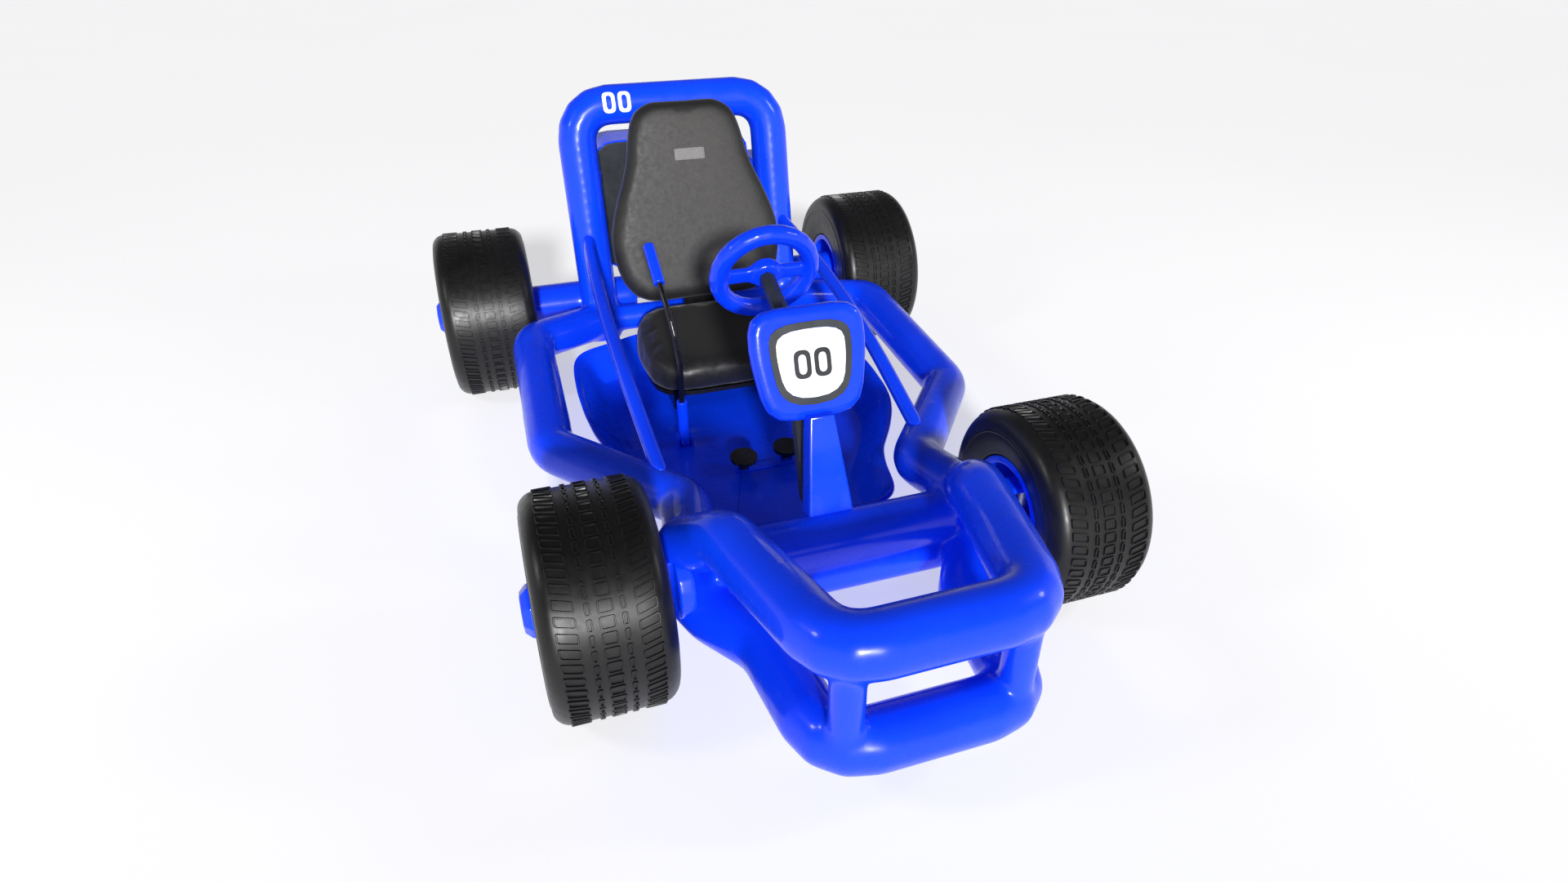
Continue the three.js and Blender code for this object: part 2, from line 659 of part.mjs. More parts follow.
// A wide-topped rounded panel in its own plane: x across, y up, front towards -Z.
function plateOutline(width, height, rounding) {
  const top = width / 2;
  const bottom = width * 0.40;
  return roundedOutline([
    [-bottom, -height / 2], [bottom, -height / 2], [top, height * 0.12], [top * 0.93, height / 2],
    [-top * 0.93, height / 2], [-top, height * 0.12],
  ], rounding);
}

// Turns a piece drawn in the plate's plane, thickness along +Z, to face forwards and up.
function ontoPlate(geometry, forward) {
  const lean = radians(PLATE.lean);
  geometry.rotateX(Math.PI / 2 - lean);
  const normal = [0, -Math.cos(lean), Math.sin(lean)];
  return geometry.translate(...along([0, PLATE.y, PLATE.z], normal, forward));
}

function plateShell(extra = 0) {
  const outline = plateOutline(PLATE.width + 2 * extra, PLATE.height + 2 * extra, 52);
  const shell = pillow(outline, PLATE.thickness + 2 * extra, 14, 3);
  return ontoPlate(shell, PLATE.face - PLATE.thickness - extra);
}

function buildPlate(parent) {
  const shell = plateShell();
  const border = ontoPlate(slab(plateOutline(166, 156, 60), 3), PLATE.face + GAP);
  const hole = ontoPlate(slab(plateOutline(140, 130, 52), 12), PLATE.face - 4);
  const panel = ontoPlate(slab(plateOutline(139.2, 129.2, 52), 3), PLATE.face + GAP);
  const roomEnds = [-60, 60].map((distance) => along(columnJoint, wheelAxis, distance));
  const clear = [ball(columnJoint, 24), bar(...roomEnds, 26, 12), columnPost(GAP)];
  addMesh(parent, 'number_plate_shell', shape3d(largest(cut(solid(shell), ...clear))), bluePaint());
  addMesh(parent, 'number_plate_border', shape3d(cut(solid(border), hole)), greyPlastic());
  addMesh(parent, 'number_plate_panel', panel, whitePanel());
}

// ---------------------------------------------------------------- seat

const backHalfOutline = [
  [0, 0], [120, 3], [180, 16], [222, 70], [236, 150], [232, 210], [205, 290], [176, 360],
  [160, 430], [147, 475], [125, 508], [85, 525], [0, 530],
];

function ontoSeatBack(geometry, backward) {
  geometry.rotateX(Math.PI / 2 - radians(SEAT_LEAN));
  const normal = [0, Math.cos(radians(SEAT_LEAN)), -Math.sin(radians(SEAT_LEAN))];
  return geometry.translate(...along([0, SEAT_BACK.y, SEAT_BACK.z], normal, backward));
}

// The half-profile moved in by `amount` at its side, bottom and top.
const inset = (points, amount) => points.map(([x, y]) => [
  Math.max(0, x - amount * (x > 0)), y + amount * (1 - (2 * y) / SEAT_BACK.height)]);

function buildSeatBack(parent) {
  const padOutline = mirroredOutline(backHalfOutline.slice(1, -1), 16);
  const shellOutline = mirroredOutline(inset(backHalfOutline, 14).slice(1, -1), 16);
  const shellBack = SEAT_BACK.pad + SEAT_BACK.shell + GAP;
  const pad = ontoSeatBack(pillow(padOutline, SEAT_BACK.pad, 20), SEAT_BACK.pad);
  const shell = ontoSeatBack(slab(shellOutline, SEAT_BACK.shell), shellBack);
  addMesh(parent, 'seat_back_pad', pad, leather());
  addMesh(parent, 'seat_back_shell', shell, blackPlastic());
}

// Lifts a cushion's upper points towards the rear, so that its top slopes up to the backrest.
function raiseRear(geometry, { frontY, backY, bottomZ, frontTopZ, rise }) {
  const points = geometry.getAttribute('position');
  for (let i = 0; i < points.count; i++) {
    const rearward = (points.getY(i) - frontY) / (backY - frontY);
    const upward = (points.getZ(i) - bottomZ) / (frontTopZ - bottomZ);
    points.setZ(i, points.getZ(i) + rise * rearward * upward);
  }
  return geometry;
}

function buildSeatBase(parent) {
  const { frontY, backY, halfWidth, bottomZ, frontTopZ } = CUSHION;
  const cushionOutline = roundedOutline(
    [[-halfWidth, frontY], [halfWidth, frontY], [halfWidth, backY], [-halfWidth, backY]], 125);
  const cushion = pillow(cushionOutline, frontTopZ - bottomZ, 20).translate(0, 0, bottomZ);
  addMesh(parent, 'seat_cushion', raiseRear(cushion, CUSHION), leather());

  const baseOutline = roundedOutline(
    [[-190, frontY + 20], [190, frontY + 20], [190, backY - 10], [-190, backY - 10]], 105);
  const base = slab(baseOutline, 11).translate(0, 0, bottomZ - 11 - GAP);
  const runners = SIDES.map(([, side]) => span(
    side * 130 - 14, side * 130 + 14, frontY + 50, backY - 50, PAN.floorZ + PAN.sheet + GAP, bottomZ - 6));
  addMesh(parent, 'seat_frame', shape3d(join(base, seatStrap(), ...runners)), blackPlastic());
}

// Bent strap under the base plate and up the back of the seat shell.
function seatStrap() {
  const thickness = 9;
  const lowZ = CUSHION.bottomZ - 11 - thickness;
  const lean = radians(SEAT_LEAN);
  const normal = new THREE.Vector2(Math.cos(lean), -Math.sin(lean));
  const up = new THREE.Vector2(Math.sin(lean), Math.cos(lean));
  const rear = new THREE.Vector2(SEAT_BACK.y, SEAT_BACK.z);
  const stand = SEAT_BACK.pad + SEAT_BACK.shell + 2 * GAP;
  const onShell = (height, extra) => (
    rear.clone().addScaledVector(normal, stand + extra).addScaledVector(up, height));
  const outline = new THREE.Shape([
    new THREE.Vector2(900, lowZ),
    new THREE.Vector2(1108, lowZ),
    onShell(10, thickness),
    onShell(260, thickness),
    onShell(260, 0),
    onShell(8, 0),
    new THREE.Vector2(1096, lowZ + thickness),
    new THREE.Vector2(900, lowZ + thickness),
  ]);
  const strap = slab(outline, 90).rotateZ(Math.PI / 2).rotateY(Math.PI / 2);
  return strap.translate(-45, 0, 0);
}

// ---------------------------------------------------------------- power unit case

const CASE = {
  frontY: 1326,
  depth: 130,
  bottomZ: 300,
  topZ: 668,
  halfWidth: 222,
  wall: 5,
  corner: 60,
};

function caseOutline(inset, corner) {
  const { halfWidth, bottomZ, topZ } = CASE;
  return roundedOutline([
    [-halfWidth + inset, bottomZ + inset], [halfWidth - inset, bottomZ + inset],
    [halfWidth - inset, topZ - inset], [-halfWidth + inset, topZ - inset],
  ], corner);
}

// A slab whose outline is drawn across X and up Z, running rearwards from `frontY`.
function upright(outline, depth, frontY) {
  return slab(outline, depth).rotateX(Math.PI / 2).translate(0, frontY + depth, 0);
}

function buildPowerUnitCase(parent) {
  const { frontY, depth, wall, corner } = CASE;
  const outer = upright(caseOutline(0, corner), depth, frontY);
  const hollow = upright(caseOutline(wall, corner - wall), depth, frontY - wall);
  const lugs = SIDES.flatMap(([, side]) => [400, 590].map((z) => (
    span(side * 238 - 24, side * 238 + 24, frontY - 60, frontY + 40, z - 14, z + 14))));
  let shell = cut(solid(outer), hollow);
  for (const lug of lugs) shell = shell.add(solid(lug));
  const shellCut = cut(shell, hollow, hoopTube(GAP));
  addMesh(parent, 'power_unit_case', shape3d(largest(shellCut)), bluePaint());
  const lid = upright(caseOutline(wall + GAP, corner - wall), 6, frontY + 2);
  addMesh(parent, 'power_unit_cover', lid, greyPlastic());
}

// ---------------------------------------------------------------- pedals and lever

const PEDALS = [['brake_pedal', 55, 474], ['throttle_pedal', -54, 462]];
const panTop = PAN.floorZ + PAN.sheet + GAP;

function buildPedal(parent, name, x, y) {
  const pivot = [x, y + 6, PEDAL_PIVOT_Z];
  const hub = bar([x - 11, pivot[1], pivot[2]], [x + 11, pivot[1], pivot[2]], 7, 12);
  const stem = bar(pivot, [x, y, 128], 6, 8);
  const pad = new THREE.CylinderGeometry(32, 32, 9, 24).rotateX(Math.PI / 2);
  pad.rotateX(radians(6)).translate(x, y, 132);
  const bore = bar([x - 20, pivot[1], pivot[2]], [x + 20, pivot[1], pivot[2]], 3.8, 10);
  addMesh(parent, name, shape3d(cut(join(hub, stem, pad), bore)), blackPlastic());
}

// One base plate with a pair of ears and a pin for each pedal.
function buildPedalBracket(parent) {
  const pieces = PEDALS.flatMap(([, x, y]) => {
    const pivotY = y + 6;
    const ears = [-1, 1].map((side) => (
      span(x + side * 14 - 2, x + side * 14 + 2, pivotY - 8, pivotY + 8, panTop, PEDAL_PIVOT_Z + 8)));
    const pin = bar([x - 15, pivotY, PEDAL_PIVOT_Z], [x + 15, pivotY, PEDAL_PIVOT_Z], 3.2, 10);
    return [...ears, pin];
  });
  const foot = span(-74, 75, 462, 488, panTop, panTop + 4);
  addMesh(parent, 'pedal_bracket', shape3d(join(foot, ...pieces)), bluePaint());
}

const leverRoute = [
  [LEVER_X, 620, 120],
  [-163, 611, 213],
  [-168, 576, 335],
  [-177, 586, 428],
  [-187, 661, 514],
  [-190, 740, 568],
];

// A round bar across the lever's pivot, reaching `reach` to either side.
function leverPivotBar(reach, radius) {
  const { y, z } = LEVER_PIVOT;
  return bar([LEVER_X - reach, y, z], [LEVER_X + reach, y, z], radius, 10);
}

function buildLever(parent) {
  const path = new THREE.CatmullRomCurve3(leverRoute.map((point) => new THREE.Vector3(...point)));
  const gripStart = path.getPointAt(0.80);
  const sleeveEnd = path.getPointAt(0.20);
  const grip = bar(gripStart.toArray(), path.getPointAt(1).toArray(), 13, 12);
  const rod = sweep(path, 5.5, 16, 8);
  const boot = bar([LEVER_X, LEVER_PIVOT.y, 99], sleeveEnd.toArray(), 13, 12);
  const bore = leverPivotBar(30, 4.4);
  const rodRoom = sweep(path, 5.5 + GAP, 16, 8);
  const rodEnds = [[LEVER_X, LEVER_PIVOT.y, LEVER_PIVOT.z], path.getPointAt(1).toArray()];
  const fittedRod = cut(solid(rod), bore, ...rodEnds.map((end) => ball(end, 9)));
  addMesh(parent, 'lever_rod', shape3d(largest(fittedRod)), blackPlastic());
  addMesh(parent, 'lever_grip', shape3d(largest(cut(solid(grip), rodRoom))), bluePaint());
  addMesh(parent, 'lever_sleeve', shape3d(largest(cut(solid(boot), bore, rodRoom))), bluePaint());
}

function buildLeverBracket(parent) {
  const { y, z } = LEVER_PIVOT;
  const foot = span(LEVER_X - 20, LEVER_X + 20, y - 14, y + 14, panTop, panTop + 4);
  const ears = SIDES.map(([, side]) => {
    const x = LEVER_X + side * 17;
    return span(x - 2.5, x + 2.5, y - 12, y + 12, panTop, z + 10);
  });
  const bracket = join(foot, ...ears, leverPivotBar(18, 4));
  addMesh(parent, 'lever_bracket', shape3d(bracket), bluePaint());
}

function buildControls(parent) {
  for (const [name, x, y] of PEDALS) buildPedal(parent, name, x, y);
  buildPedalBracket(parent);
  buildLever(parent);
  buildLeverBracket(parent);
}

// ---------------------------------------------------------------- the kart

const kart = new THREE.Group();
kart.position.y = -FOOTPRINT_MIDDLE_Y;
buildBumper(kart);
buildRails(kart);
buildHoop(kart);
buildBraces(kart);
buildFloorPan(kart);
buildAxleTubes(kart);
buildWheels(kart);
buildFrontAxle(kart);
buildSteering(kart);
buildColumnPost(kart);
buildLowerColumn(kart);
buildPlate(kart);
buildSeatBack(kart);
buildSeatBase(kart);
buildPowerUnitCase(kart);
buildControls(kart);

const part = new THREE.Group();
part.add(kart);

export default part;
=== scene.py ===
import json
import math

import bmesh
import bpy
import numpy as np
from mathutils import Matrix, Vector
from mathutils.bvhtree import BVHTree


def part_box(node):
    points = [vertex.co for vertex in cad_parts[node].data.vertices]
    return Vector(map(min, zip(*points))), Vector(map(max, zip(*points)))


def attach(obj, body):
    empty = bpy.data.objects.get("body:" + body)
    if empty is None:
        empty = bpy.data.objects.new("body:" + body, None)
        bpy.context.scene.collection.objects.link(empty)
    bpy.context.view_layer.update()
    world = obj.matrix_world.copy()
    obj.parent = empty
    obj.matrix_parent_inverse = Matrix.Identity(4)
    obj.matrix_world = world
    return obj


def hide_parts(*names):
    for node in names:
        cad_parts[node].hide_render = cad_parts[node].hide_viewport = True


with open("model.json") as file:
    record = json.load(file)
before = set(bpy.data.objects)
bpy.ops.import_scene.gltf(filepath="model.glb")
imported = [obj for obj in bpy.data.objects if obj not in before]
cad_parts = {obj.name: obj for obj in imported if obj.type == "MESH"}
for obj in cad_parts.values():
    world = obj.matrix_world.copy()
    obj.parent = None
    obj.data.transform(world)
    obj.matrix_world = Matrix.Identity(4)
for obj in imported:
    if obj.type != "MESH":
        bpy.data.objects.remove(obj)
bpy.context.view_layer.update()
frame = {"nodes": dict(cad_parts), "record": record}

scene = bpy.context.scene
MM = 0.001
SIDES = (("left", 1), ("right", -1))
ALONG_X = Vector((1, 0, 0))
BODIES = frame["record"]["behaviour"]["bodies"]
BODY_OF = {node: body for body, nodes in BODIES.items() for node in nodes}
SLOT_OF = {part["node"]: part["material_slot"] for part in frame["record"]["subparts"]}


# ---------------------------------------------------------------- materials

class Shader:
    """A Principled material whose inputs are fed by patterns in object space."""

    def __init__(self, name, settings):
        self.material = bpy.data.materials.new(name)
        self.material.use_nodes = True
        self.tree = self.material.node_tree
        self.surface = self.tree.nodes["Principled BSDF"]
        self.coords = self.add("ShaderNodeTexCoord").outputs["Object"]
        for socket, value in settings.items():
            self.surface.inputs[socket].default_value = value

    def add(self, kind, **settings):
        """A new node with its properties set."""
        node = self.tree.nodes.new(kind)
        for key, value in settings.items():
            setattr(node, key, value)
        return node

    def link(self, output, node, socket):
        self.tree.links.new(output, node.inputs[socket])

    def stretched(self, scale):
        """Object coordinates with a scale of their own along each axis."""
        mapping = self.add("ShaderNodeMapping")
        self.link(self.coords, mapping, "Vector")
        mapping.inputs["Scale"].default_value = scale
        return mapping.outputs["Vector"]

    def noise(self, scale, detail=2, vector=None):
        node = self.add("ShaderNodeTexNoise")
        self.link(vector or self.coords, node, "Vector")
        node.inputs["Scale"].default_value = scale
        node.inputs["Detail"].default_value = detail
        return node.outputs["Fac"]

    def cells(self, scale):
        """A grain of small cells, lowest along the lines between them."""
        node = self.add("ShaderNodeTexVoronoi", feature="DISTANCE_TO_EDGE")
        self.link(self.coords, node, "Vector")
        node.inputs["Scale"].default_value = scale
        return node.outputs["Distance"]

    def spread(self, value, low, high, start=0.35, end=0.65):
        """Maps start to low and end to high, and what lies between in proportion."""
        node = self.add("ShaderNodeMapRange")
        self.link(value, node, "Value")
        node.inputs["From Min"].default_value = start
        node.inputs["From Max"].default_value = end
        node.inputs["To Min"].default_value = low
        node.inputs["To Max"].default_value = high
        return node.outputs["Result"]

    def between(self, value, first, second, start=0.35, end=0.65):
        """A colour that runs from first at start to second at end."""
        node = self.add("ShaderNodeValToRGB")
        self.link(value, node, "Fac")
        for stop, position, shade in zip(node.color_ramp.elements, (start, end), (first, second)):
            stop.position = position
            stop.color = (*shade, 1)
        return node.outputs["Color"]

    def mix(self, factor, first, second):
        """Blends two colours; the mix node's colour sockets are numbers 6 and 7, and 2 on its way out."""
        node = self.add("ShaderNodeMix", data_type="RGBA")
        self.link(factor, node, 0)
        self.link(first, node, 6)
        self.link(second, node, 7)
        return node.outputs[2]

    def colour(self, value, first, second):
        self.link(self.between(value, first, second), self.surface, "Base Color")

    def roughness(self, value, low, high):
        self.link(self.spread(value, low, high), self.surface, "Roughness")

    def bump(self, value, strength, distance):
        node = self.add("ShaderNodeBump")
        self.link(value, node, "Height")
        node.inputs["Strength"].default_value = strength
        node.inputs["Distance"].default_value = distance
        self.link(node.outputs["Normal"], self.surface, "Normal")


def blue_paint():
    shader = Shader("blue_paint", {"Specular IOR Level": 0.22, "Coat Weight": 0.28, "Coat Roughness": 0.07})
    shader.colour(shader.noise(2.2), (0.0015, 0.040, 0.84), (0.003, 0.058, 1.0))
    shader.roughness(shader.noise(26, 3), 0.24, 0.32)
    shader.bump(shader.noise(240), 0.04, 0.0004)
    return shader.material


def rubber():
    shader = Shader("tyre", {"Specular IOR Level": 0.38, "Sheen Weight": 0.02})
    shader.colour(shader.noise(9, 4), (0.0025, 0.0025, 0.0027), (0.006, 0.006, 0.0065))
    shader.roughness(shader.noise(60, 3), 0.34, 0.42)
    shader.bump(shader.noise(900, 3), 0.12, 0.0003)
    return shader.material


def leather(name, first, second, roughness):
    shader = Shader(name, {"Specular IOR Level": 0.4, "Sheen Weight": 0.12, "Sheen Roughness": 0.5})
    shader.colour(shader.noise(420, 4), first, second)
    shader.roughness(shader.noise(80, 2), roughness, roughness + 0.1)
    shader.bump(shader.cells(620), 0.30, 0.0005)
    return shader.material


def plastic(name, first, second, roughness, grain):
    shader = Shader(name, {"Specular IOR Level": 0.45, "IOR": 1.49})
    shader.colour(shader.noise(14, 3), first, second)
    shader.roughness(shader.noise(50, 3), roughness, roughness + 0.08)
    shader.bump(shader.noise(grain, 2), 0.07, 0.0003)
    return shader.material


def brushed_steel():
    shader = Shader("steel", {"Metallic": 1.0, "Anisotropic": 0.4})
    strokes = shader.noise(60, 4, shader.stretched((1, 14, 14)))
    shader.colour(strokes, (0.30, 0.31, 0.33), (0.46, 0.47, 0.49))
    shader.roughness(strokes, 0.26, 0.38)
    shader.bump(strokes, 0.05, 0.0003)
    return shader.material


def floor_finish():
    glow = {"Emission Color": (0.96, 0.96, 0.97, 1), "Emission Strength": 0.54}
    shader = Shader("floor", {"Specular IOR Level": 0.05, **glow})
    shader.colour(shader.noise(0.8), (0.64, 0.64, 0.645), (0.65, 0.65, 0.655))
    shader.roughness(shader.noise(4), 0.8, 0.9)
    return shader.material


MATERIALS = {
    "blue_paint": blue_paint(),
    "tyre": rubber(),
    "leather": leather("leather", (0.004, 0.004, 0.0042), (0.011, 0.011, 0.0108), 0.36),
    "label": leather("label", (0.15, 0.145, 0.14), (0.20, 0.195, 0.19), 0.6),
    "grey_plastic": plastic("grey_plastic", (0.016, 0.020, 0.023), (0.027, 0.032, 0.036), 0.36, 500),
    "black_plastic": plastic("black_plastic", (0.004, 0.004, 0.0045), (0.008, 0.008, 0.009), 0.20, 300),
    "white_panel": plastic("white_panel", (0.86, 0.865, 0.87), (0.90, 0.905, 0.91), 0.30, 300),
    "numeral": plastic("numeral", (0.010, 0.011, 0.013), (0.018, 0.019, 0.022), 0.35, 400),
    "steel": brushed_steel(),
}


# ---------------------------------------------------------------- mesh helpers

# Angles in degrees: eased rounds the edges above EASED_FROM, and NO_CREASE leaves no edge sharp.
EASED_FROM = 30
EASED_CREASE = 50
NO_CREASE = 180
SKIN_GROWTH = 0.4 * MM


def finished(name, bm, body, slot, material=None, nodes=(), crease=40):
    """Turns a bmesh into a smooth-shaded piece that rides on a body and stands for CAD nodes."""
    bmesh.ops.recalc_face_normals(bm, faces=bm.faces)
    mesh = bpy.data.meshes.new(name)
    bm.to_mesh(mesh)
    bm.free()
    placed(bpy.data.objects.new(name, mesh), body, slot, material, nodes, crease)


def placed(piece, body, slot, material=None, nodes=(), crease=40):
    """Gives a piece its material (the one given, else its slot's), shading and body; edges sharper than
    crease degrees stay sharp.
    """
    if piece.name not in scene.collection.objects:
        scene.collection.objects.link(piece)
    piece.data.materials.clear()
    piece.data.materials.append(MATERIALS[material or slot])
    piece.data.shade_smooth()
    piece.data.set_sharp_from_angle(angle=math.radians(crease))
    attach(piece, body)
    if nodes:
        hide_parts(*nodes)
    return piece


def merged(nodes, grow=0.0):
    """The CAD nodes as one bmesh with shared corners, pushed outwards by grow."""
    bm = bmesh.new()
    for node in nodes:
        bm.from_mesh(frame["nodes"][node].data)
    bmesh.ops.remove_doubles(bm, verts=bm.verts, dist=1e-5)
    bm.normal_update()
    for vertex in bm.verts:
        vertex.co += vertex.normal * grow
    return bm


def bare_object(name, bm):
    """An object in the scene that is still to be shaped."""
    mesh = bpy.data.meshes.new(name)
    bm.to_mesh(mesh)
    bm.free()
    piece = bpy.data.objects.new(name, mesh)
    scene.collection.objects.link(piece)
    return piece


def modify(piece, kind, **settings):
    """Adds a modifier with its settings."""
    modifier = piece.modifiers.new(kind.lower(), kind)
    for key, value in settings.items():
        setattr(modifier, key, value)
    return modifier


def bake(piece):
    """Replaces a piece's mesh by the result of its modifiers."""
    evaluated = piece.evaluated_get(bpy.context.evaluated_depsgraph_get())
    mesh = bpy.data.meshes.new_from_object(evaluated)
    piece.modifiers.clear()
    old, piece.data = piece.data, mesh
    bpy.data.meshes.remove(old)
    mesh.name = piece.name


def eased(node, width, segments=3):
    """A copy of one CAD node with its edges rounded off."""
    bm = merged([node])
    bmesh.ops.dissolve_limit(bm, angle_limit=math.radians(1), verts=bm.verts, edges=bm.edges)
    piece = bare_object(node + "_shape", bm)
    piece.data.shade_smooth()
    modify(piece, "BEVEL", width=width, segments=segments, limit_method="ANGLE",
           angle_limit=math.radians(EASED_FROM), use_clamp_overlap=True)
    modify(piece, "WEIGHTED_NORMAL", keep_sharp=True)
    bake(piece)
    placed(piece, BODY_OF[node], SLOT_OF[node], nodes=[node], crease=EASED_CREASE)


def skin(name, nodes, voxel, rounds, swelling):
    """Neighbouring CAD nodes as one smooth surface, blended where they meet.

    The swelling makes up for what the smoothing rounds take off.
    """
    piece = bare_object(name, merged(nodes, SKIN_GROWTH))
    modify(piece, "REMESH", mode="VOXEL", voxel_size=voxel)
    modify(piece, "DISPLACE", strength=swelling, mid_level=0)
    modify(piece, "SMOOTH", factor=0.5, iterations=rounds)
    bake(piece)
    placed(piece, BODY_OF[nodes[0]], SLOT_OF[nodes[0]], nodes=nodes, crease=NO_CREASE)


def rounded(corners, radius, steps=4):
    """A closed outline with each corner replaced by a short curve; radius may differ per corner."""
    outline = []
    count = len(corners)
    radii = radius if isinstance(radius, list) else [radius] * count
    for i, corner in enumerate(corners):
        knot = Vector(corner)
        ends = []
        for neighbour in (corners[i - 1], corners[(i + 1) % count]):
            edge = Vector(neighbour) - knot
            ends.append(knot + edge.normalized() * min(radii[i], 0.48 * edge.length))
        for step in range(steps + 1):
            t = step / steps
            outline.append(ends[0] * (1 - t) ** 2 + knot * 2 * t * (1 - t) + ends[1] * t ** 2)
    return outline


def rounded_profile(points):
    """A closed outline from rows of (corner, bend in millimetres)."""
    return rounded([corner for corner, _ in points], [bend * MM for _, bend in points], 5)


def rounded_box(width, height, radius, steps=4):
    """A rectangle about the origin with rounded corners."""
    x, y = width / 2, height / 2
    return rounded([(-x, -y), (x, -y), (x, y), (-x, y)], radius, steps)


def bridge(bm, first, second):
    """Quads between two matching rings of corners."""
    for i in range(len(first)):
        j = (i + 1) % len(first)
        bm.faces.new((first[i], first[j], second[j], second[i]))


def bridge_all(bm, loops):
    """Quads between each ring and the next."""
    for first, second in zip(loops, loops[1:]):
        bridge(bm, first, second)


def lathe(bm, profile, centre, axis, segments):
    """Turns a closed profile of (radius, distance along the axis) round the axis."""
    across = axis.orthogonal().normalized()
    up = axis.cross(across)
    rings = []
    for step in range(segments):
        angle = 2 * math.pi * step / segments
        outward = across * math.cos(angle) + up * math.sin(angle)
        rings.append([bm.verts.new(centre + outward * radius + axis * along) for radius, along in profile])
    for step in range(segments):
        bridge(bm, rings[step], rings[(step + 1) % segments])


def raised_ring(bm, place, outer, inner, low, high, slope=0.0):
    """A raised outline whose walls lean in by slope: place(u, v, height) gives a corner's position."""
    mid = [(a + b) / 2 for a, b in zip(outer, inner)]
    top_outer = [p.lerp(m, slope) for p, m in zip(outer, mid)]
    top_inner = [p.lerp(m, slope) for p, m in zip(inner, mid)]
    rows = ((outer, low), (top_outer, high), (top_inner, high), (inner, low))
    bridge_all(bm, [[bm.verts.new(place(u, v, height)) for u, v in outline] for outline, height in rows])


def surface_of(mesh):
    """A mesh as a surface that rays can be cast at."""
    corners = [v.co for v in mesh.vertices]
    return BVHTree.FromPolygons(corners, [tuple(p.vertices) for p in mesh.polygons])


def box_middle(node):
    """The centre of a CAD node's box."""
    low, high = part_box(node)
    return (low + high) / 2


def facing(node, towards):
    """Mean direction of a node's faces that look roughly along towards."""
    total = Vector()
    for polygon in frame["nodes"][node].data.polygons:
        if polygon.normal.dot(towards) > 0.85:
            total += polygon.normal * polygon.area
    return total.normalized()


def upwards(direction):
    """The direction or its opposite, whichever points up."""
    return direction * math.copysign(1, direction.z)


# ---------------------------------------------------------------- the welded frame

WELDED_TUBES = [
    "bumper_upper_loop", "bumper_lower_loop", "bumper_post_left", "bumper_post_right",
    "side_rail_left", "side_rail_right", "front_cross_tube_upper", "front_cross_tube_lower",
    "roll_hoop", "rear_cross_tube", "axle_tube_left", "axle_tube_right",
]


def build_frame():
    """The welded tubes in one skin, the two thin braces, and the castings that carry the kingpins."""
    skin("tube_frame", WELDED_TUBES, 5.5 * MM, 26, 2.0 * MM)
    for side, _ in SIDES:
        skin("side_brace_" + side + "_tube", ["side_brace_" + side], 2.6 * MM, 26, 1.3 * MM)
        skin("kingpin_bracket_" + side + "_casting", ["kingpin_bracket_" + side], 3 * MM, 10, 0.4 * MM)


# ---------------------------------------------------------------- floor pan

PAN_DEPTH = 80 * MM
PAN_WALL_RUN = 68.75 * MM
PAN_WALL_STEPS = 14
PAN_SHEET = 5 * MM
PAN_BEAD = 5.5 * MM
PAN_BEAD_SIDES = 12
PAN_RAYS = 240
PAN_ROUNDS = 6
# How much of the wall's drop follows a soft step; the rest is a straight slope.
PAN_WALL_SOFTNESS = 0.6
# The rings of the pan's flat floor, as shares of the way from its middle to the foot of the wall.
PAN_FLOOR_RINGS = (0.92, 0.75, 0.5, 0.25, 0.05)


def pan_outline():
    """The pan's rim seen from above, found on the CAD pan just under its edge, and its height."""
    surface = surface_of(frame["nodes"]["floor_pan"].data)
    low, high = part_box("floor_pan")
    rim = low.z + PAN_DEPTH
    centre = Vector((0, (low.y + high.y) / 2, rim - 1 * MM))
    points = []
    for step in range(PAN_RAYS):
        angle = 2 * math.pi * step / PAN_RAYS
        outward = Vector((math.sin(angle), math.cos(angle), 0))
        hit = surface.ray_cast(centre + outward * 2, -outward)[0]
        points.append(Vector((hit.x, hit.y)))
    for _ in range(PAN_ROUNDS):
        points = [(points[i - 1] + points[i] * 2 + points[(i + 1) % PAN_RAYS]) / 4 for i in range(PAN_RAYS)]
    return points, rim


def inset_outline(points, amount):
    """The outline moved inwards along its own normals."""
    moved = []
    for i, point in enumerate(points):
        along = points[(i + 1) % len(points)] - points[i - 1]
        inward = Vector((along.y, -along.x)).normalized()
        moved.append(point + inward * amount)
    return moved


def pan_sheet(outline, rim):
    """The pan's wall and floor as an open surface."""
    bm = bmesh.new()
    loops = []
    for step in range(PAN_WALL_STEPS + 1):
        t = step / PAN_WALL_STEPS
        soft_step = 3 * t ** 2 - 2 * t ** 3
        drop = PAN_DEPTH * (soft_step * PAN_WALL_SOFTNESS + t * (1 - PAN_WALL_SOFTNESS))
        ring = inset_outline(outline, PAN_WALL_RUN * t)
        loops.append([bm.verts.new((*point, rim - drop)) for point in ring])
    foot = [v.co.xy for v in loops[-1]]
    middle = sum(foot, Vector((0, 0))) / PAN_RAYS
    for share in PAN_FLOOR_RINGS:
        loops.append([bm.verts.new((*middle.lerp(point, share), rim - PAN_DEPTH)) for point in foot])
    bridge_all(bm, loops)
    bm.faces.new(loops[-1])
    return bm


